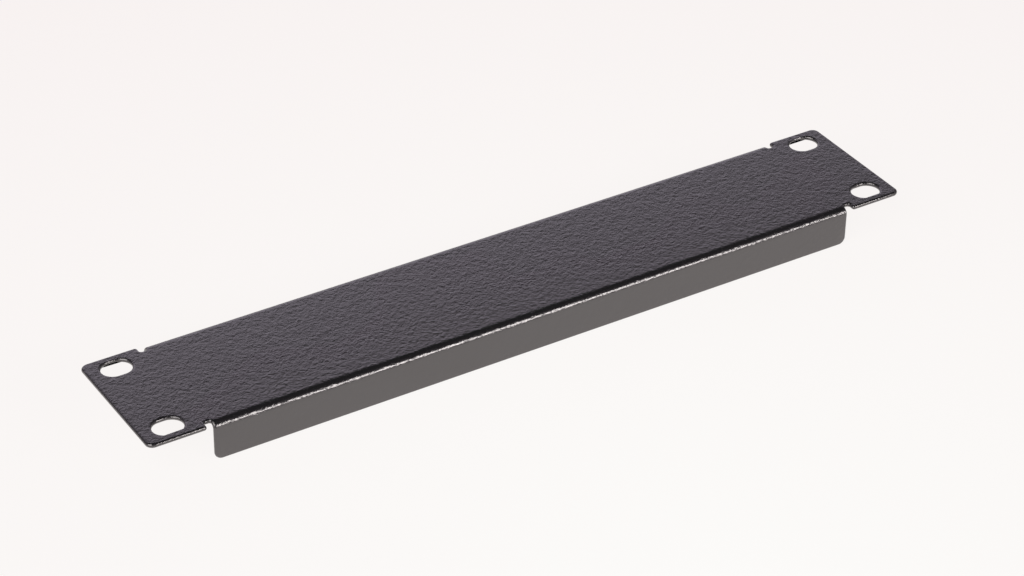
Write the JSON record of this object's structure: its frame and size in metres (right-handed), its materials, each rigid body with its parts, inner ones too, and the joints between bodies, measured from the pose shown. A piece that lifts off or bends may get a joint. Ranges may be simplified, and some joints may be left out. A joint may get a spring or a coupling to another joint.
{
  "type": "rack blanking panel",
  "caption": "Blanking panel for a 10-inch rack, one unit high: a folded, powder-coated steel sheet with slotted ears, bend reliefs and two flanges folded back.",
  "frame": {"origin": "under the middle of the face, on the plane of the two flange edges that the panel lies on", "axes": "+X along the panel from ear to ear, +Y across it, +Z out of the front face, away from the rack"},
  "size_m": [0.254, 0.0436, 0.0124],
  "materials": {
    "powder_coat": "black textured powder coat, satin, on steel sheet"
  },
  "bodies": {
    "root": {"panel": "powder_coat"}
  },
  "joints": []
}
